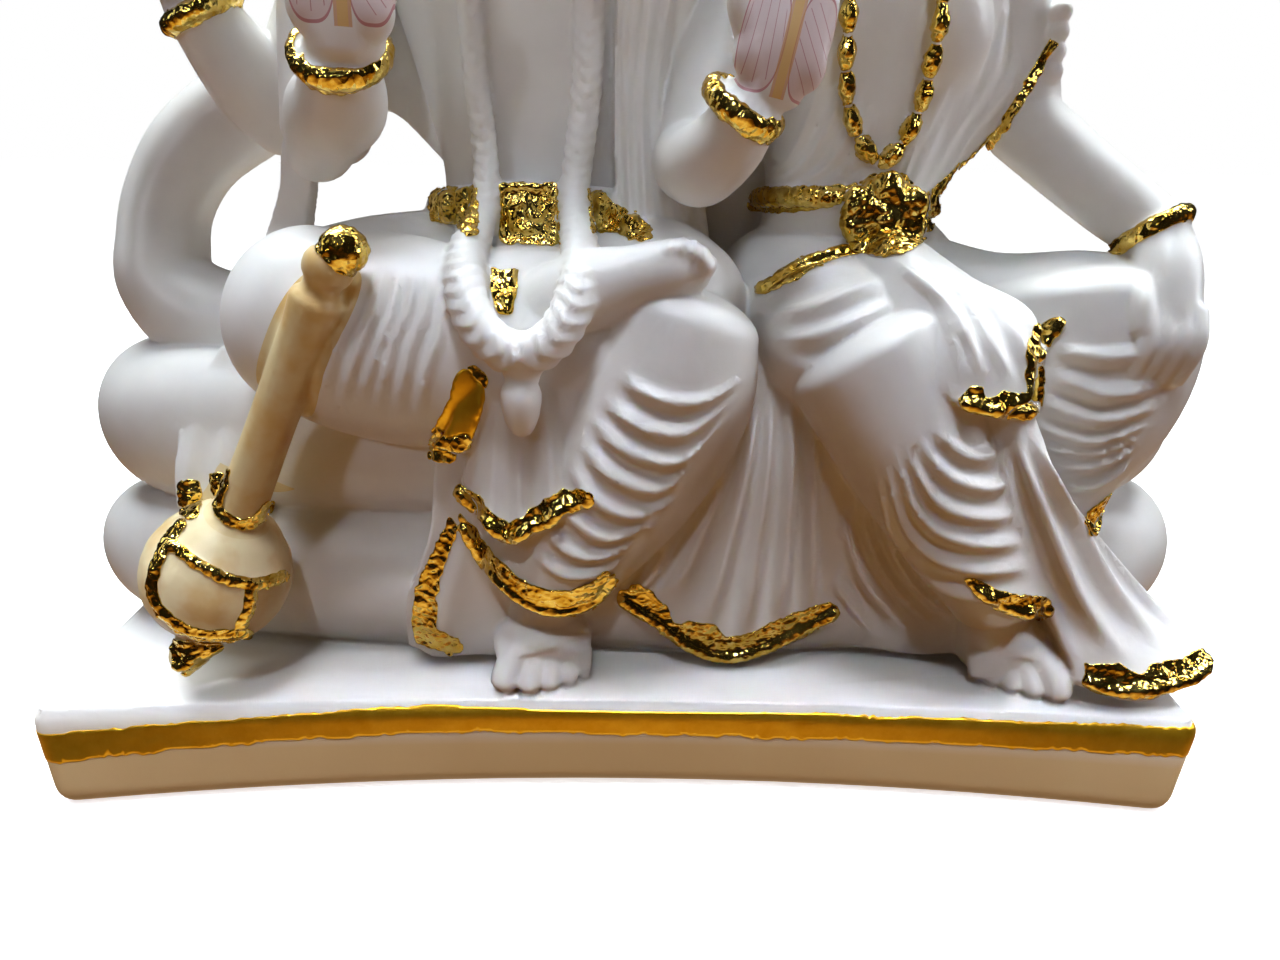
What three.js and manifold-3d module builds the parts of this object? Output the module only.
// Seated pair of deities on a coiled serpent, cast in one piece with its plinth.
// Millimetres, +Z up, X to the viewer's right, front towards -Y, origin under the middle of the plinth.
import * as THREE from "three";
import { mergeVertices } from "three/addons/utils/BufferGeometryUtils.js";
import Module from "manifold-3d";

const wasm = await Module();
wasm.setup();

// Driving dimensions of the plinth
const PLINTH_WIDTH = 205;
const PLINTH_DEPTH = 84;
const PLINTH_HEIGHT = 17.5;
const PLINTH_CORNER = 5; // plan radius of its corners
const PLINTH_EDGE = 3; // rounding of its top edge
const PLINTH_TAPER = 3.6; // how far each end leans in at the bottom
const FRONT_BOW = 4.5; // the front face bows back by this much from its ends to BOW_X
const BOW_X = -5;

// Driving dimensions of the serpent seat
const COIL_RADIUS = 14;
const COIL_MIDDLE_Y = 4;
const COIL_HALF_DEPTH = 22;
const COIL_FRONT_SQUEEZE = 0.72; // the coils are flatter towards the front than they are high
const LOW_COIL_HALF_WIDTH = 98;
const HIGH_COIL_HALF_WIDTH = 91.8;
const SEAT_TOP = 70;

// Driving dimensions of the figures: the middle of each body and the height of each head
const LORD_X = -15.5;
const LORD_HEAD_Z = 189;
const LADY_X = 41;
const LADY_HEAD_Z = 173;

// Cloth
const FRONT = -Math.PI / 2; // the angle round a limb that faces the viewer

// Skins are first made FINENESS times finer than each piece's counts say, joined, and then coarsened.
const FINENESS = 1.5;
const MOST_TRIANGLES = 10000;

const MARBLE = new THREE.MeshStandardMaterial({
  color: 0xf1eeea,
  roughness: 0.45,
  metalness: 0,
});

// Turns a closed geometry into a solid, after moving each of its vertices.
function solidOf(geometry, move) {
  const bare = geometry.clone();
  bare.deleteAttribute("normal");
  bare.deleteAttribute("uv");
  const merged = mergeVertices(bare, 1e-4);
  const place = merged.attributes.position;
  const point = new THREE.Vector3();
  for (let i = 0; i < place.count; i++) {
    point.fromBufferAttribute(place, i);
    const moved = move(point);
    place.setXYZ(i, moved.x, moved.y, moved.z);
  }
  const triVerts = Uint32Array.from(merged.index.array);
  if (signedVolume(place, triVerts) < 0) {
    for (let i = 0; i < triVerts.length; i += 3) {
      [triVerts[i + 1], triVerts[i + 2]] = [triVerts[i + 2], triVerts[i + 1]];
    }
  }
  return new wasm.Manifold(
    new wasm.Mesh({ numProp: 3, vertProperties: place.array, triVerts }),
  );
}

function signedVolume(place, triangles) {
  const [a, b, c] = [0, 1, 2].map(() => new THREE.Vector3());
  let six = 0;
  for (let i = 0; i < triangles.length; i += 3) {
    a.fromBufferAttribute(place, triangles[i]);
    b.fromBufferAttribute(place, triangles[i + 1]);
    c.fromBufferAttribute(place, triangles[i + 2]);
    six += a.dot(b.cross(c));
  }
  return six / 6;
}

function join(solids) {
  return solids.flat(9).reduce((all, next) => all.add(next));
}

// A smooth curve through rows of numbers, read at t from 0 to 1; each row may hold any count of numbers.
function smooth(rows) {
  const groups = [];
  for (let k = 0; k < rows[0].length; k += 3) {
    const points = rows.map((r) => new THREE.Vector3(r[k], r[k + 1] ?? 0, r[k + 2] ?? 0));
    groups.push(new THREE.CatmullRomCurve3(points, false, "catmullrom", 0.5));
  }
  return (t) => groups.flatMap((curve) => curve.getPoint(Math.min(1, Math.max(0, t))).toArray());
}

// A limb, tail or roll of cloth: a sphere's skin drawn out along a smooth curve.
// A station is [x, y, z, half width, half depth]; fold(t, angle) adds height to the skin, where angle
// runs from the side towards the back; up is the direction that the half depth is measured in.
function limb(stations, { sides = 9, rings = 5, ends = 1, fold = () => 0, up = [0, 1, 0], dome = 0.7 } = {}) {
  const read = smooth(stations);
  const upward = new THREE.Vector3(...up);
  const lengthwise = Math.round(rings * FINENESS);
  const rows = lengthwise + 2 * ends;
  return solidOf(new THREE.SphereGeometry(1, Math.round(sides * FINENESS), rows), (v) => {
    const row = Math.round((Math.acos(THREE.MathUtils.clamp(v.y, -1, 1)) / Math.PI) * rows);
    const t = THREE.MathUtils.clamp((row - ends) / lengthwise, 0, 1);
    const past = Math.max(ends - row, row - rows + ends, 0) / ends; // over 0 on the rounded ends
    const narrow = Math.cos((past * Math.PI) / 2);
    const beyond = Math.sin((past * Math.PI) / 2) * dome * (row < ends ? -1 : 1);
    const [x, y, z, wide, deep] = read(t);
    const [x1, y1, z1] = read(Math.max(0, t - 0.01));
    const [x2, y2, z2] = read(Math.min(1, t + 0.01));
    const along = new THREE.Vector3(x2 - x1, y2 - y1, z2 - z1).normalize();
    const back = upward.clone().addScaledVector(along, -upward.dot(along)).normalize();
    const side = back.clone().cross(along);
    const angle = Math.atan2(v.z, v.x);
    const lift = fold(t, angle) * narrow;
    return new THREE.Vector3(x, y, z)
      .addScaledVector(along, beyond * Math.min(wide, deep))
      .addScaledVector(side, (wide * narrow + lift) * Math.cos(angle))
      .addScaledVector(back, (deep * narrow + lift) * Math.sin(angle));
  });
}

// An egg-shaped lump: centre, the three half sizes and a lean about Y in degrees.
function ball([x, y, z], [rx, ry, rz], lean = 0, sides = 8, rows = 6) {
  const turn = new THREE.Euler(0, THREE.MathUtils.degToRad(lean), 0);
  const skin = new THREE.SphereGeometry(1, Math.round(sides * FINENESS), Math.round(rows * FINENESS));
  return solidOf(skin, (v) =>
    new THREE.Vector3(v.x * rx, v.z * ry, v.y * rz).applyEuler(turn).add(new THREE.Vector3(x, y, z)),
  );
}

// A thick cloth laid through a few guide curves, each a list of [x, y, z] of the same length.
// thick is how far the cloth goes back, and fold(u, v) lifts it towards the viewer.
function cloth(curves, { across = 6, down = 5, thick = 6, fold = () => 0 } = {}) {
  const strips = curves.map((points) => smooth(points));
  const counts = [across, down].map((n) => Math.round(n * FINENESS));
  return solidOf(new THREE.BoxGeometry(1, 1, 1, ...counts, 1), (v) => {
    const [u, w] = [v.x + 0.5, 0.5 - v.y];
    const [x, y, z] = smooth(strips.map((strip) => strip(u)))(w);
    const front = v.z > 0;
    return new THREE.Vector3(x, front ? y - fold(u, w) : y + thick, z);
  });
}

// A ring of round section lying on a circle or an ellipse across the direction `along`.
function bangle([x, y, z], radius, section, along, flatten = 1) {
  const turn = new THREE.Quaternion().setFromUnitVectors(
    new THREE.Vector3(0, 0, 1),
    new THREE.Vector3(...along).normalize(),
  );
  return solidOf(new THREE.TorusGeometry(radius, section, 6, 16), (v) => {
    const p = new THREE.Vector3(v.x, v.y * flatten, v.z);
    return p.applyQuaternion(turn).add(new THREE.Vector3(x, y, z));
  });
}

// Something turned on a lathe and stood at a point, its axis along `axis`.
function turned(profile, [x, y, z], axis, sides = 10) {
  const turn = new THREE.Quaternion().setFromUnitVectors(
    new THREE.Vector3(0, 1, 0),
    new THREE.Vector3(...axis).normalize(),
  );
  const points = profile.map(([r, h]) => new THREE.Vector2(r, h));
  return solidOf(new THREE.LatheGeometry(points, sides), (v) =>
    v.clone().applyQuaternion(turn).add(new THREE.Vector3(x, y, z)),
  );
}

// A rounded ridge once every whole number of x.
function ridge(x) {
  return Math.abs(Math.sin(Math.PI * x)) ** 0.8 - 0.5;
}

// How much an angle round a limb faces the viewer: 1 in front, 0 from the sides backwards.
function facing(angle) {
  return Math.max(0, Math.cos(angle - FRONT));
}

function between(a, b, t) {
  return a + (b - a) * t;
}

// The plinth: a block with rounded corners and a rounded top edge, its sides leaning in to the bottom.
function plinth() {
  const outline = new THREE.Shape();
  const [w, d, r] = [PLINTH_WIDTH / 2, PLINTH_DEPTH / 2, PLINTH_CORNER];
  const steps = 8;
  outline.moveTo(-w + r, -d);
  for (let i = 1; i <= steps; i++) outline.lineTo(between(-w + r, w - r, i / steps), -d);
  outline.absarc(w - r, -d + r, r, -Math.PI / 2, 0);
  outline.absarc(w - r, d - r, r, 0, Math.PI / 2);
  outline.absarc(-w + r, d - r, r, Math.PI / 2, Math.PI);
  outline.absarc(-w + r, -d + r, r, Math.PI, 1.5 * Math.PI);
  const plan = outline.getPoints(3);
  if (plan[0].distanceTo(plan[plan.length - 1]) < 1e-6) plan.pop();
  // Each level is how high it is, and how far its ends and its front are drawn in.
  const levels = [
    [0, PLINTH_TAPER, 0.6],
    [PLINTH_HEIGHT - PLINTH_EDGE, 0, 0],
    [PLINTH_HEIGHT - 0.3 * PLINTH_EDGE, 0.3 * PLINTH_EDGE, 0.3 * PLINTH_EDGE],
    [PLINTH_HEIGHT, PLINTH_EDGE, PLINTH_EDGE],
  ];
  const block = new THREE.CylinderGeometry(1, 1, 1, plan.length, levels.length - 1);
  return solidOf(block, (v) => {
    const level = Math.round((v.y + 0.5) * (levels.length - 1));
    const [height, atEnds, atFront] = levels[level];
    if (Math.hypot(v.x, v.z) < 0.5) return new THREE.Vector3(0, 0, height);
    const turn = (Math.atan2(v.x, v.z) / (2 * Math.PI) + 1) % 1;
    const p = plan[Math.round(turn * plan.length) % plan.length];
    const bow = FRONT_BOW * (((p.x - BOW_X) / PLINTH_WIDTH) * 2) ** 2;
    const y = p.y < 0 ? p.y * (40 / d) - bow * Math.min(1, -p.y / 35) : p.y;
    return new THREE.Vector3(p.x * (1 - atEnds / w), y * (1 - atFront / d), height);
  });
}

// One loop of the serpent, lying flat on a rounded oval. thickness(a) is its radius at the angle a.
function coil(halfWidth, middleX, height, thickness) {
  const ring = new THREE.TorusGeometry(1, 0.4, 14, 44);
  const square = 2 / 2.7;
  return solidOf(ring, (v) => {
    const a = Math.atan2(v.y, v.x);
    const b = Math.atan2(v.z, Math.hypot(v.x, v.y) - 1);
    const cx = middleX + halfWidth * Math.sign(Math.cos(a)) * Math.abs(Math.cos(a)) ** square;
    const cy = COIL_MIDDLE_Y + COIL_HALF_DEPTH * Math.sign(Math.sin(a)) * Math.abs(Math.sin(a)) ** square;
    const out = new THREE.Vector3(Math.cos(a) / halfWidth, Math.sin(a) / COIL_HALF_DEPTH, 0).normalize();
    const r = thickness(a);
    const wide = r * between(1, COIL_FRONT_SQUEEZE, Math.abs(out.y));
    return new THREE.Vector3(cx, cy, height(a))
      .addScaledVector(out, wide * Math.cos(b))
      .add(new THREE.Vector3(0, 0, r * Math.sin(b)));
  });
}

// The seat: two stacked loops, a filling under the figures, and the neck that rises behind the arm.
function serpent() {
  const leftness = (a) => Math.max(0, -Math.cos(a)) ** 3;
  const low = coil(
    LOW_COIL_HALF_WIDTH,
    1.5,
    (a) => PLINTH_HEIGHT + 13.8 - 1.6 * leftness(a),
    (a) => COIL_RADIUS + 0.2 - 2 * leftness(a),
  );
  const high = coil(
    HIGH_COIL_HALF_WIDTH,
    2.5,
    (a) => 58.6 - 1.5 * leftness(a),
    (a) => COIL_RADIUS + leftness(a),
  );
  const filling = solidOf(new THREE.CylinderGeometry(1, 1, 1, 12, 1), (v) =>
    new THREE.Vector3(v.x * 90, COIL_MIDDLE_Y + v.z * 21, between(14, SEAT_TOP, v.y + 0.5)),
  );
  const neck = limb(
    [
      [-50, 6, 70, 10, 10],
      [-66, 2, 72, 10.5, 10.5],
      [-80, 1, 76, 10, 10.2],
      [-87, 2, 82.6, 8.6, 9.6],
      [-87.6, 4, 90, 7.8, 9],
      [-86.2, 6, 97.4, 7.7, 8.8],
      [-81.4, 8, 105.6, 8.2, 8.8],
      [-73.4, 11, 112.4, 8.8, 9],
      [-62, 15, 119.5, 9.3, 9],
      [-48, 20, 128, 9.5, 9],
      [-33, 24, 140, 11, 9],
      [-14, 27, 156, 13, 8],
    ],
    { sides: 9, rings: 15 },
  );
  return [low, high, filling, neck];
}

// The hood: a broad shield behind both heads, ending in five small hooded heads.
function hood() {
  const middle = [0, 200];
  const shield = limb(
    [
      [-12, 26, 146, 16, 7],
      [-7, 28, 166, 34, 6],
      [0, 29, 190, 48, 5.5],
      [0, 28, 214, 50, 5.5],
      [0, 26, 234, 34, 5.5],
    ],
    { sides: 14, rings: 5, ends: 2 },
  );
  const heads = [-2, -1, 0, 1, 2].map((k) => {
    const lean = k * THREE.MathUtils.degToRad(27);
    const at = (r, y, wide, deep) => [
      middle[0] + r * Math.sin(lean),
      y,
      middle[1] + r * Math.cos(lean),
      wide,
      deep,
    ];
    return limb([at(26, 27, 8, 6), at(42, 25, 11, 6), at(53, 19, 8, 6), at(58, 9, 4.5, 4)], { sides: 7 });
  });
  return [shield, heads];
}

// A head in a tall crown, with ears, nose and earrings, on its neck.
function head([x, y, z], size, crownHeight) {
  const s = size;
  const skull = ball([x, y, z], [12.6 * s, 14 * s, 17 * s], 0, 10, 8);
  const nose = ball([x, y - 13.6 * s, z - 2 * s], [1.9 * s, 2.4 * s, 4 * s], 0, 5, 4);
  const ears = [-1, 1].map((k) =>
    ball([x + k * 12.8 * s, y + 1.5 * s, z - 3 * s], [2.4 * s, 3 * s, 5.5 * s], 0, 6, 4),
  );
  const drops = [-1, 1].map((k) =>
    ball([x + k * 13.6 * s, y, z - 11 * s], [2.6 * s, 2.6 * s, 4 * s], 0, 6, 4),
  );
  const crown = turned(
    [
      [0, 0],
      [14.2 * s, 0],
      [15.4 * s, 2 * s],
      [13 * s, 6 * s],
      [12.6 * s, 0.4 * crownHeight],
      [10 * s, 0.62 * crownHeight],
      [6.4 * s, 0.74 * crownHeight],
      [7 * s, 0.81 * crownHeight],
      [2.6 * s, 0.92 * crownHeight],
      [0, crownHeight],
    ],
    [x, y + 1.5 * s, z + 6.5 * s],
    [0, 0.06, 1],
    11,
  );
  return [skull, nose, ears, drops, crown];
}

// A hand held up with its palm to the viewer: palm, four fingers side by side and a thumb.
function raisedHand([x, y, z], size, thumbSide, lean = 0) {
  const s = size;
  const tilt = THREE.MathUtils.degToRad(lean);
  const at = (u, v, w, rx, ry) => [
    x + (u * Math.cos(tilt) + v * Math.sin(tilt)) * s,
    y + w * s,
    z + (v * Math.cos(tilt) - u * Math.sin(tilt)) * s,
    rx * s,
    ry * s,
  ];
  const palm = limb([at(0, -5, 1, 4.8, 3.6), at(0, 0, 0, 6.6, 3.6), at(0, 7, 0.5, 6.9, 2.8)], {
    sides: 8,
    rings: 3,
  });
  const lengths = [11, 13.5, 12.5, 9.5];
  const fingers = lengths.map((length, i) => {
    const u = thumbSide * (1.5 - i) * 3.3;
    return limb([at(u, 6, 0.6, 1.9, 2), at(u * 1.06, 6 + length, 2, 1.4, 1.5)], { sides: 5, rings: 1 });
  });
  const thumb = limb(
    [at(thumbSide * 4.5, -1, 0, 2.4, 2.4), at(thumbSide * 8, 4, -1, 2, 2), at(thumbSide * 8.4, 9, -1, 1.5, 1.5)],
    { sides: 5, rings: 2 },
  );
  return [palm, fingers, thumb];
}

// The larger figure from the hips up, with the shawl down the right of the chest and the swag at the left.
function lordBody() {
  const x = LORD_X;
  const torso = limb(
    [
      [x, 5, 70, 30, 19],
      [x, 3.5, 84, 25, 18],
      [x, 1.5, 95, 18.5, 14.5],
      [x, 0.5, 104, 17, 13],
      [x, 0.5, 120, 20.8, 14],
      [x, 1, 136, 25.5, 15.5],
      [x, 2, 150, 28, 14.5],
      [x, 3, 160, 22, 11.5],
      [x, 3, 167, 10, 9.5],
      [x, 2, 178, 8.6, 8.6],
    ],
    { sides: 14, rings: 11 },
  );
  const shawl = cloth(
    [
      [[4, 0, 158], [12, 0, 158], [20, 2, 154]],
      [[0, -15, 140], [8, -13, 140], [17, -6, 138]],
      [[-1.5, -15, 118], [5, -13, 118], [12, -4, 116]],
      [[-1, -15, 98], [6, -15, 96], [15, -8, 94]],
      [[0, -19, 86], [8, -18, 86], [16, -12, 85]],
    ],
    { across: 9, down: 4, thick: 12, fold: (u) => 1.2 * ridge(3 * u) },
  );
  const swag = cloth(
    [
      [[-47, 3, 150], [-40, 2, 150], [-33, 2, 150]],
      [[-47.5, 3, 126], [-40, 2, 126], [-33, 1, 124]],
      [[-46.5, 3, 113.5], [-41, 3, 112.5], [-32, 1, 104]],
    ],
    { across: 3, down: 3, thick: 7 },
  );
  const belt = bangle([x, -0.5, 96], 18.2, 3.6, [0, 0.16, 1], 0.86);
  const buckle = cloth(
    [
      [[-20.2, -17.6, 101.5], [-11.6, -17.6, 101.5]],
      [[-20.2, -20.2, 92.6], [-11.6, -20.2, 92.6]],
    ],
    { across: 1, down: 1, thick: 6 },
  );
  return [torso, shawl, swag, belt, buckle, head([x, -0.5, LORD_HEAD_Z], 1, 48)];
}

// The larger figure's four arms: two raised at the back with the disc and the conch, one hand raised
// in front in blessing, and one that goes behind the other figure to hold her arm.
function lordArms() {
  const frontRight = [
    limb([[-41, 2, 155, 10, 10], [-48, -3, 134, 9, 9.5], [-49, -13, 109.5, 7.2, 8]], { rings: 4 }),
    limb(
      [
        [-49.4, -14.5, 107.6, 6.8, 7.4],
        [-45.4, -22.6, 109.6, 7.6, 7.8],
        [-40.6, -30.6, 113.6, 6.6, 6.6],
        [-37.9, -35.4, 119, 5.6, 5.2],
      ],
      { sides: 9, rings: 5 },
    ),
    bangle([-38.6, -34, 117.6], 6, 1.7, [0.15, -0.66, 0.73]),
    raisedHand([-37, -37.6, 127], 1, 1, 3),
  ];
  const rearRight = [
    limb([[-41, 8, 154, 9.5, 9.5], [-52, 8, 132, 9, 9], [-61, 5, 113, 8, 8]], { sides: 8, rings: 3 }),
    limb([[-61, 5, 112.5, 8, 8], [-66, 1.5, 118, 7.6, 7.8], [-71, -2, 127, 6, 6], [-73.5, -3.5, 134, 5, 4.6]], {
      rings: 4,
    }),
    bangle([-71.5, -2.4, 128.4], 5.9, 1.5, [-0.45, -0.2, 1]),
    raisedHand([-76, -3.5, 142], 0.85, 1, -14),
    turned([[0, -2], [9, -2], [12, 0], [9, 2], [0, 2]], [-79, -1, 164], [0.1, 1, 0], 12),
  ];
  const rearLeft = [
    limb([[10, 8, 154, 9.5, 9.5], [19, 13, 142, 8.4, 8.4], [24, 14, 146, 7.4, 7.4]], { sides: 7, rings: 3 }),
    limb([[24, 14, 146, 7.2, 7.2], [25, 12, 162, 6, 6], [23.5, 8, 178, 4.6, 4.6]], { sides: 7, rings: 3 }),
    bangle([23.8, 9, 174.5], 5, 1.4, [-0.05, -0.2, 1]),
    raisedHand([23, 6.5, 184], 0.8, -1, 0),
    turned([[0, -12], [2.6, -9], [6.4, -1], [7, 3], [4.6, 7], [2.4, 11], [0, 13]], [23.4, 3, 196], [0.1, 0, 1], 8),
  ];
  const frontLeft = [
    limb([[13, 3, 152, 9.5, 9.5], [30, 14, 139, 8.4, 8.4], [50, 19, 131, 7.6, 7.6], [68, 11, 127, 6, 6]], {
      sides: 7,
      rings: 5,
    }),
    [0, 1, 2, 3].map((k) =>
      limb([[66, 8, 131 - 3.4 * k, 2, 2], [73.8, 2, 130.4 - 3.2 * k, 2, 2], [72.4, -5.4, 129.6 - 3 * k, 1.7, 1.7]], {
        sides: 5,
        rings: 3,
        up: [0, 0, 1],
      }),
    ),
  ];
  return [frontRight, rearRight, rearLeft, frontLeft];
}

// The larger figure's legs: the right one folded with its foot in the lap, the left one down to its foot.
function lordLegs() {
  const lapFold = (t, a) => (t > 0.12 ? 1.1 * ridge(7 * t + 1.2 * Math.cos(a)) * facing(a) : 0);
  const foldedLeg = limb(
    [
      [-50, -25.5, 80.4, 15.2, 14.2],
      [-43, -27.5, 79, 16.4, 13.6],
      [-34, -28, 77.5, 17, 12.6],
      [-24, -29, 77, 16.6, 11.6],
      [-13, -30, 77, 14, 11],
      [-3, -31, 79, 10, 9],
    ],
    { sides: 14, rings: 15, ends: 2, fold: lapFold, dome: 0.98 },
  );
  const foldedThigh = limb([[-28, 2, 84, 15, 13], [-40, -12, 83, 14.5, 13.5], [-47, -20, 81, 14.5, 14]], {
    rings: 2,
    up: [0, 0, 1],
  });
  const lapFoot = [
    limb([[-8, -33, 80.5, 9, 6.6], [2, -34, 83.5, 7.8, 6.2], [9, -33.5, 87.4, 6.4, 5.4], [13.4, -32.6, 89.6, 4.6, 4.4]], {
      rings: 4,
    }),
    [0, 1, 2, 3].map((k) => ball([13.6 - 1.2 * k, -34.6 + 1.8 * k, 92.6 - 1.5 * k], [2.4, 1.8, 1.7], 30, 5, 4)),
  ];
  const otherThigh = limb([[-4, 2, 84, 15, 14], [4, -12, 83, 15, 14], [7, -20, 81, 14.4, 14]], {
    rings: 2,
    up: [0, 0, 1],
  });
  const shinFold = (t, a) => {
    const sag = Math.cos(a - FRONT - 0.25);
    return 1.5 * ridge(5.6 * t - 1.5 * sag) * facing(a) * THREE.MathUtils.clamp(5 * (t - 0.12), 0, 1);
  };
  const shin = limb(
    [
      [8.4, -28.4, 80.4, 14.3, 14.4],
      [6.4, -29.5, 70, 15, 14.4],
      [1.5, -30, 60, 14.6, 13.5],
      [-5, -29.5, 50, 13.6, 12.4],
      [-11, -28.6, 42, 12.4, 11.6],
      [-13, -28, 38.5, 12, 11.2],
    ],
    { sides: 15, rings: 17, ends: 2, fold: shinFold, dome: 1 },
  );
  const ankle = limb([[-13, -26, 42, 8, 8], [-13.4, -26.5, 32, 7.2, 7], [-13.6, -25, 24, 7.6, 8]], { rings: 2 });
  return [foldedLeg, foldedThigh, lapFoot, otherThigh, shin, ankle, foot([-14.4, -25, 19], 1, 0)];
}

// A bare foot flat on the plinth, pointing at the viewer: instep, five toes side by side.
function foot([x, y, z], size, turn) {
  const s = size;
  const lean = THREE.MathUtils.degToRad(turn);
  const at = (u, w, h, rx, rz) => [
    x + (u * Math.cos(lean) - w * Math.sin(lean)) * s,
    y - (w * Math.cos(lean) + u * Math.sin(lean)) * s,
    z + h * s,
    rx * s,
    rz * s,
  ];
  const instep = limb([at(0, -7, 5, 7, 8), at(0, 2, 5.4, 7.6, 7), at(0, 8, 3, 8.6, 4.8), at(0, 11, 1.6, 8.4, 3)], {
    rings: 4,
    up: [0, 0, 1],
  });
  const toes = [0, 1, 2, 3, 4].map((k) => {
    const u = 6.4 - 3.35 * k;
    const reach = 12.6 - 0.35 * (k - 1) ** 2;
    const r = k === 0 ? 2.3 : 1.95;
    return limb([at(u, 8, 1.2, r, r), at(u, reach, 0.4, r, r * 0.95)], { sides: 5, rings: 1, up: [0, 0, 1] });
  });
  return [instep, toes];
}

// The pleated end of cloth that hangs before the larger figure's shin, and the strips beside it.
function lordHangingCloth() {
  const pleats = cloth(
    [
      [[-21, -36, 78], [-15, -38.5, 78], [-7, -37, 78]],
      [[-22, -38, 68], [-14.6, -41, 66], [-5.5, -38.4, 68]],
      [[-25.2, -37, 57], [-19.5, -41, 50.4], [-14.6, -42.6, 49.2], [-9, -42, 53.4], [-3.6, -38.6, 57]],
    ].map((row) => resample(row, 5)),
    { across: 12, down: 4, thick: 14, fold: (u, v) => (0.4 + v) * ridge(4 * u) },
  );
  const ribbon = cloth(
    [
      [[-23.6, -38, 80], [-19.4, -39, 80]],
      [[-24.6, -39.6, 70], [-20.4, -40.6, 71]],
      [[-28.4, -39, 63.4], [-23.6, -40, 62.4]],
    ],
    { across: 1, down: 3, thick: 5 },
  );
  const trailing = cloth(
    [
      [[-30, -32, 62], [-25, -32, 62], [-18, -32, 62]],
      [[-32, -32.6, 46], [-26, -32.6, 46], [-19, -32, 46]],
      [[-37, -31.6, 33], [-30, -32, 32], [-20, -30, 32]],
      [[-38, -29.4, 22.6], [-33, -29.6, 20.4], [-22, -28, 20]],
    ],
    { across: 4, down: 4, thick: 10, fold: (u) => 0.8 * ridge(2 * u) },
  );
  const strap = cloth(
    [
      [[-57.6, -7, 116], [-53, -7, 116]],
      [[-59.4, -7, 107], [-56.8, -7.4, 107]],
      [[-61.2, -7.4, 100], [-56, -8, 101]],
      [[-64.4, -7.6, 91], [-55.4, -8.4, 92]],
      [[-68, -12, 78], [-56, -14, 78]],
    ],
    { across: 1, down: 5, thick: 4 },
  );
  const kneeCloth = cloth(
    [
      [[-70.6, -16, 74], [-60, -18, 74]],
      [[-75.4, -20, 65], [-64, -22, 66]],
      [[-78, -24, 55], [-66, -26, 56]],
      [[-78.2, -26, 47], [-66.4, -28, 46]],
    ],
    { across: 6, down: 3, thick: 10, fold: (u, v) => 1.1 * v * ridge(2 * u + 0.5) },
  );
  return [pleats, ribbon, trailing, strap, kneeCloth];
}

// The same curve read at a set count of points.
function resample(points, count) {
  const read = smooth(points);
  return Array.from({ length: count }, (_, i) => read(i / (count - 1)));
}

// The long garland of petals that falls down the chest, lies in the lap and ends in a bud.
function garland() {
  const route = [
    [-19, -2, 166],
    [-25, -11, 152],
    [-24, -16, 132],
    [-22.6, -16, 110],
    [-22.8, -19.6, 98],
    [-25.2, -29, 92.6],
    [-25, -37, 87],
    [-22.4, -41, 81],
    [-18.4, -42.6, 77.6],
    [-14.8, -43.2, 76],
    [-10.4, -42.6, 78.4],
    [-6.6, -40.4, 82.6],
    [-4.8, -33.4, 89],
    [-5.4, -22.4, 96.4],
    [-5.8, -17, 106],
    [-5.2, -16, 130],
    [-6, -11, 152],
    [-12, -2, 166],
  ];
  const petals = 22;
  const rope = limb(route.map((p) => [...p, 2.5, 2.5]), {
    sides: 5,
    rings: 2 * petals,
    fold: (t) => 0.35 * Math.cos(2 * Math.PI * petals * t),
  });
  const bud = [
    limb([[-14.8, -42, 77, 2.4, 2], [-14.6, -43, 71.6, 2.7, 2.2]], { sides: 6, rings: 1 }),
    ball([-14.5, -43.4, 69.6], [3.2, 3, 4.2], 0, 7, 6),
  ];
  const knot = cloth([[[-19.4, -36, 91], [-15.6, -36, 91]], [[-19, -39, 85], [-15.2, -39, 85]]], {
    across: 1,
    down: 1,
    thick: 5,
  });
  return [rope, bud, knot];
}

// The mace that leans against the knee, head down on the plinth.
function mace() {
  const middleOfHead = [-68.5, -33.6, 38.5];
  const axis = [30, -8.6, 56];
  return turned(
    [
      [0, -19.5],
      [3.8, -13],
      [8.4, -9],
      [11.6, -3],
      [11.6, 3],
      [8.4, 9],
      [6.6, 12.4],
      [4.3, 14],
      [3.9, 55],
      [2.9, 57],
      [2.9, 59.4],
      [4.2, 63],
      [3.2, 66],
      [0, 67.4],
    ],
    middleOfHead,
    axis,
    11,
  );
}

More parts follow.
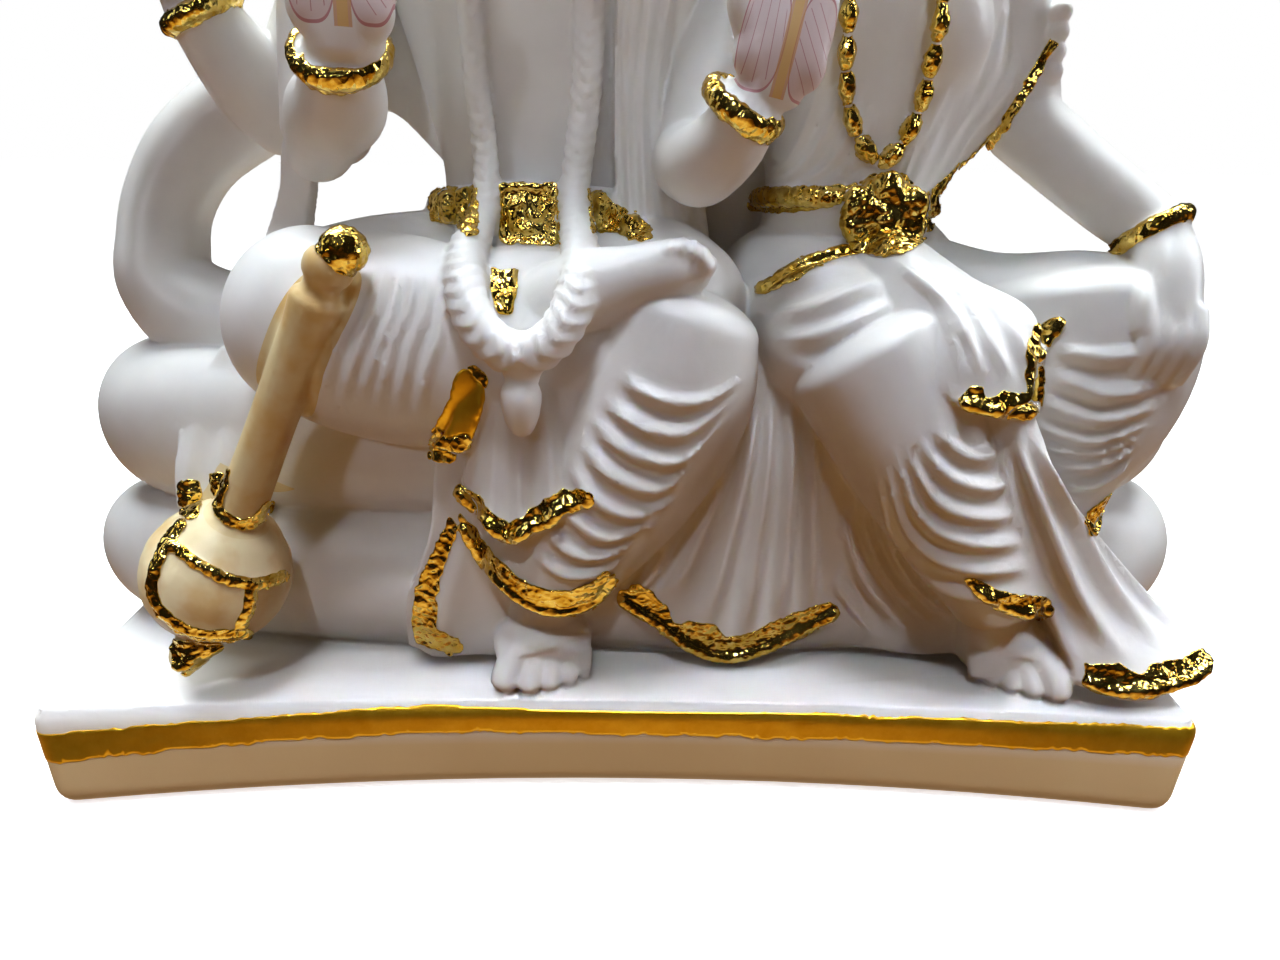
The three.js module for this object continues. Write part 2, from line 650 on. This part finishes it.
// The smaller figure from the hips up.
function ladyBody() {
  const x = LADY_X;
  const torso = limb(
    [
      [x + 2, 5, 70, 30, 18],
      [x + 1, 3, 84, 23, 16.5],
      [x - 1, 0, 96, 15.6, 13],
      [x, 0, 106, 16.6, 13],
      [x + 1, 0.5, 120, 20, 15],
      [x + 1, 1, 133, 22.5, 15.5],
      [x + 1, 2, 144, 21, 12],
      [x + 1, 2, 151, 10, 9],
      [x + 1, 1.5, 162, 7.4, 7.4],
    ],
    { sides: 14, rings: 10 },
  );
  const bosom = [-1, 1].map((k) => ball([x + 1 + k * 9.4, -9.5, 126.5], [9.6, 8.8, 9.4]));
  const wrap = cloth(
    [
      [[54, -2, 150], [62, 0, 148], [67, 4, 142]],
      [[53, -9, 130], [61, -7, 124], [68, -4, 121]],
      [[50, -12, 112], [56, -9.4, 110], [62, -6, 108.6]],
      [[45.4, -15, 98], [49, -14, 97], [55, -8, 96]],
    ],
    { across: 6, down: 4, thick: 12, fold: (u) => 0.7 * ridge(2 * u) },
  );
  const belt = bangle([x - 1, -0.6, 97.4], 15.8, 2, [0, 0.12, 1], 0.86);
  const brooch = [
    ball([42.4, -15.4, 98.6], [5.6, 3.6, 6]),
    [0, 1, 2, 3, 4, 5].map((k) => {
      const a = (k * Math.PI) / 3;
      return ball([42.4 + 4.6 * Math.cos(a), -17, 98.6 + 5 * Math.sin(a)], [2.5, 2.2, 2.5], 0, 5, 4);
    }),
  ];
  return [torso, bosom, wrap, belt, brooch, necklace(), head([x + 1, -1, LADY_HEAD_Z], 0.84, 34)];
}

// The long necklace: two strings of beads that meet above the belt.
function necklace() {
  const beads = 18;
  const route = [
    [34.4, -6, 152],
    [33.4, -16, 139],
    [33.6, -18.4, 127],
    [34, -16.6, 116],
    [37.4, -15, 109.6],
    [41.6, -14.6, 106.2],
    [45.6, -15, 109.6],
    [48.6, -16.6, 116],
    [49.6, -18.4, 127],
    [49.4, -16, 139],
    [48.4, -6, 152],
  ];
  return limb(route.map((p) => [...p, 1.6, 1.6]), {
    sides: 5,
    rings: 2 * beads,
    fold: (t) => -0.4 * Math.cos(2 * Math.PI * beads * t),
  });
}

// The smaller figure's arms: the right hand raised in blessing, the left one resting on her knee.
function ladyArms() {
  const right = [
    limb([[24, 3, 144, 8, 8], [17, -6, 126, 7.4, 7.6], [12, -19, 106, 7, 7.2]], { sides: 8, rings: 4 }),
    limb([[11.4, -20, 105, 7, 7.2], [12.6, -28, 104.4, 6.8, 7], [16, -34, 108.4, 5.8, 5.6], [18.6, -36.4, 113.6, 4.8, 4.4]], {
      rings: 5,
    }),
    bangle([16.9, -34.8, 110.6], 5.6, 1.5, [0.42, -0.42, 1]),
    raisedHand([22, -37.4, 121], 0.88, -1, 12),
  ];
  const left = [
    limb([[61, 4, 145, 8.4, 8.4], [66.6, 3, 130, 7.6, 8], [70, 1, 114, 7, 7.4]], { sides: 8, rings: 3 }),
    limb([[70.4, 0, 113, 7.2, 7.6], [79.1, -7, 104.7, 6.6, 6.8], [86.2, -12, 98.3, 5.8, 5.8], [90.3, -16.5, 95, 5, 4.8]], {
      rings: 4,
    }),
    bangle([88.6, -14.8, 96.4], 5.6, 1.4, [0.55, -0.6, -0.5]),
    limb([[89.6, -16, 95.4, 5, 4.6], [89.6, -22, 90, 5.6, 4.4], [88.8, -27, 84, 5.6, 3.8]], { rings: 3 }),
    [0, 1, 2, 3].map((k) =>
      limb([[92.4 - 2.6 * k, -27.4, 85, 1.9, 1.9], [92 - 2.6 * k, -31, 80.4, 1.8, 1.8], [91.4 - 2.6 * k, -31.6, 76.4, 1.5, 1.5]], {
        sides: 5,
        rings: 3,
      }),
    ),
    limb([[86, -21, 89.6, 2, 2], [83.4, -26.6, 86, 1.9, 1.9], [83, -29, 81.4, 1.6, 1.6]], { sides: 5, rings: 2 }),
  ];
  return [right, left];
}

// The smaller figure's legs: the left one folded outwards, the right one down to its foot.
function ladyLegs() {
  const leftThigh = limb([[52, -1, 80, 14, 12], [66, -8, 78.4, 12.6, 12.4], [80, -13, 79, 13, 12.6], [89, -15.4, 80, 11.6, 12]], {
    sides: 12,
    rings: 6,
    ends: 2,
  });
  const fanFold = (t, a) => 1.3 * ridge(5 * t - 0.9 * Math.cos(a - FRONT)) * facing(a);
  const leftShank = limb(
    [
      [79, -15, 84, 20, 12],
      [80, -17, 74, 20, 13],
      [80.4, -18, 63, 16.4, 12],
      [80.6, -18, 53, 9.6, 9],
      [81.6, -18, 45, 5, 6.4],
    ],
    { sides: 14, rings: 15, fold: fanFold, dome: 0.5 },
  );
  const rightThigh = limb([[31, 1, 82, 14.6, 13.4], [34, -14, 81, 14.6, 13.8], [36.6, -26, 79, 14.4, 14]], {
    sides: 12,
    rings: 3,
    ends: 2,
    up: [0, 0, 1],
    dome: 0.9,
  });
  const shinFold = (t, a) => {
    const sag = Math.cos(a - FRONT + 0.35);
    return 1.2 * ridge(7 * t - 1.3 * sag) * facing(a) * THREE.MathUtils.clamp(5 * (t - 0.25), 0, 1);
  };
  const rightShin = limb(
    [
      [39, -29.4, 77, 13.6, 13.2],
      [47, -32, 65, 12.6, 12],
      [54, -33, 54, 11.4, 10.8],
      [60.6, -33, 44, 9.6, 9.6],
      [65.6, -32, 36.6, 8.6, 9],
    ],
    { sides: 14, rings: 17, ends: 2, fold: shinFold, dome: 0.9 },
  );
  const ankle = limb([[64.6, -29, 39, 6.2, 6.2], [67.4, -28, 28, 6, 6.4], [68, -26, 23, 6.4, 7]], { rings: 2 });
  return [leftThigh, leftShank, rightThigh, rightShin, ankle, foot([69.6, -26, 19], 0.92, -10)];
}

// The skirt between the figures and the swept folds beside the smaller figure's shin.
function skirts() {
  const curtain = cloth(
    [
      [[2, -20, 84], [14, -20, 84], [28, -20, 82], [42, -20, 80]],
      [[4, -29, 62], [16, -29.4, 64], [28, -29.4, 64], [42, -29, 62]],
      [[1, -29.6, 42], [15, -29.8, 42], [29, -29.6, 42], [43, -29, 42]],
      [[0, -28.6, 31.5], [14.5, -28.4, 20.4], [28, -27.4, 20.4], [44, -26, 30]],
    ],
    { across: 18, down: 4, thick: 14, fold: (u, v) => (0.3 + v) * 1.3 * ridge(5 * u + 0.2 * v) },
  );
  const swept = cloth(
    [
      [[36, -22, 78], [44, -22, 78], [52, -22, 78], [60, -22, 78]],
      [[39, -29, 60], [46, -29.6, 58], [54, -29.6, 56], [62, -29, 56]],
      [[39, -29, 38], [49, -30, 40], [57, -30, 42], [66, -29, 42]],
      [[43, -24, 20.4], [54, -25.6, 19.6], [62, -26, 20], [72, -25, 20]],
    ],
    { across: 14, down: 6, thick: 14, fold: (u, v) => 1.5 * ridge(3.6 * (u - 0.5 * v * v) + 0.2) },
  );
  const backCloth = cloth(
    [
      [[-6, 9, 150], [14, 8, 146], [34, 9, 140]],
      [[-6, 9, 110], [14, 7, 110], [34, 9, 110]],
      [[-6, 9, 68], [14, 8, 68], [34, 9, 68]],
    ],
    { across: 2, down: 3, thick: 9 },
  );
  return [curtain, swept, backCloth];
}

// The sash: a short apron from the brooch, and a long pleated end that widens down to the plinth.
function sash() {
  const apron = cloth(
    [
      [[39, -18, 96], [43, -19, 96], [48, -17, 95]],
      [[39.6, -29, 90.6], [47, -30, 90], [56, -26, 89]],
      [[44.6, -41, 80.6], [54, -40.6, 81], [63, -36, 84.4]],
      [[50, -43.4, 72.6], [56, -44.2, 71.6], [61.4, -43, 73]],
    ],
    { across: 8, down: 5, thick: 8, fold: (u, v) => 1.1 * v * ridge(2.4 * u + 0.3) },
  );
  const tail = cloth(
    [
      [[53.6, -38, 76], [57.4, -39, 76], [61, -38, 76]],
      [[59, -40, 62], [63.6, -41.4, 62], [68.6, -39.4, 61.4]],
      [[66, -39.4, 47.6], [71.4, -40.4, 48.4], [79, -36.6, 50]],
      [[73.6, -37.4, 34], [82, -38.6, 35], [91.6, -34.6, 36]],
      [[79.6, -37.4, 22], [91, -39, 20.6], [104.6, -34.6, 25]],
    ],
    { across: 12, down: 6, thick: 9, fold: (u, v) => (0.5 + v) * 1.3 * ridge(4 * u) },
  );
  return [apron, tail];
}

// The hollows that the skins shut in between them are filled: the casting is solid.
const filled = (solid) => solid.decompose().sort((a, b) => b.volume() - a.volume())[0];

const statue = filled(join([
  plinth(),
  serpent(),
  hood(),
  lordBody(),
  lordArms(),
  lordLegs(),
  lordHangingCloth(),
  garland(),
  mace(),
  ladyBody(),
  ladyArms(),
  ladyLegs(),
  skirts(),
  sash(),
]));

// A point's squared distance to planes, summed: the ten numbers of a symmetric 4 x 4 matrix.
function planeSum(normal, offset, weight) {
  const [a, b, c, d] = [normal.x, normal.y, normal.z, offset];
  return [a * a, a * b, a * c, a * d, b * b, b * c, b * d, c * c, c * d, d * d].map((q) => q * weight);
}

function strayOf(q, { x, y, z }) {
  const diagonal = q[0] * x * x + q[4] * y * y + q[7] * z * z + q[9];
  return diagonal + 2 * (q[1] * x * y + q[2] * x * z + q[3] * x + q[5] * y * z + q[6] * y + q[8] * z);
}

function crossOf(a, b, c) {
  return b.clone().sub(a).cross(c.clone().sub(a));
}

// Joins neighbouring points where the skin is nearly flat, until no more than `wanted` triangles are left.
// An edge closes only if its ends share two neighbours, so the skin stays one closed sheet, and only if
// no face beside it turns over or thins to a sliver.
function coarsen(points, faces, wanted) {
  const stray = points.map(() => new Array(10).fill(0));
  for (const f of faces) {
    const area = crossOf(...f.map((i) => points[i]));
    const size = area.length();
    if (size < 1e-12) continue;
    const normal = area.divideScalar(size);
    const sum = planeSum(normal, -normal.dot(points[f[0]]), size);
    for (const i of f) stray[i] = stray[i].map((q, k) => q + sum[k]);
  }
  while (faces.length > wanted) {
    const before = faces.length;
    faces = onePass(points, faces, stray, wanted);
    if (faces.length > 0.995 * before) break;
  }
  return faces;
}

function onePass(points, faces, stray, wanted) {
  const around = points.map(() => []);
  for (const f of faces) for (const i of f) around[i].push(f);
  const edges = [];
  for (const f of faces) {
    for (let k = 0; k < 3; k++) {
      const [a, b] = [f[k], f[(k + 1) % 3]];
      if (a > b) continue;
      const q = stray[a].map((v, n) => v + stray[b][n]);
      const middle = points[a].clone().lerp(points[b], 0.5);
      const spot = [points[a].clone(), points[b].clone(), middle]
        .map((p) => ({ p, cost: strayOf(q, p) + 1e-5 * points[a].distanceToSquared(points[b]) }))
        .reduce((best, next) => (next.cost < best.cost ? next : best));
      edges.push({ a, b, q, ...spot });
    }
  }
  edges.sort((one, two) => one.cost - two.cost);
  const used = new Set();
  const gone = new Set();
  const most = Math.min((faces.length - wanted) / 2, 0.06 * faces.length);
  let closed = 0;
  for (const { a, b, q, p } of edges) {
    if (closed >= most) break;
    if (used.has(a) || used.has(b) || !mayClose(points, around, a, b, p)) continue;
    for (const f of [...around[a], ...around[b]]) for (const i of f) used.add(i);
    for (const f of around[b]) {
      if (f.includes(a)) gone.add(f);
      else f[f.indexOf(b)] = a;
    }
    points[a].copy(p);
    stray[a] = q;
    closed++;
  }
  return faces.filter((f) => !gone.has(f));
}

function mayClose(points, around, a, b, p) {
  const ring = (v) => new Set(around[v].flat().filter((i) => i !== v));
  const ringB = ring(b);
  if ([...ring(a)].filter((i) => ringB.has(i)).length !== 2) return false;
  return [a, b].every((v) =>
    around[v].every((f) => {
      if (f.includes(a) && f.includes(b)) return true;
      const was = crossOf(...f.map((i) => points[i]));
      const now = crossOf(...f.map((i) => (i === v ? p : points[i])));
      const longest = Math.max(...f.map((i) => (i === v ? p : points[i]).distanceToSquared(points[f[0]])));
      return was.dot(now) > 0.3 * was.length() * now.length() && now.length() > 0.01 * longest;
    }),
  );
}

// The joined solid as a mesh of the scene graph, its skin coarsened.
function meshOf(solid, name, material, wanted) {
  const made = solid.getMesh();
  const points = [];
  for (let i = 0; i < made.numVert; i++) {
    points.push(new THREE.Vector3().fromArray(made.vertProperties, i * made.numProp));
  }
  const all = [];
  for (let i = 0; i < made.triVerts.length; i += 3) all.push([...made.triVerts.subarray(i, i + 3)]);
  const faces = coarsen(points, all, wanted);
  const geometry = new THREE.BufferGeometry().setFromPoints(points);
  geometry.setIndex(faces.flat());
  geometry.computeVertexNormals();
  const mesh = new THREE.Mesh(geometry, material);
  mesh.name = name;
  return mesh;
}

const group = new THREE.Group();
group.add(meshOf(statue, "vishnu_lakshmi_casting", MARBLE, MOST_TRIANGLES));

export default group;
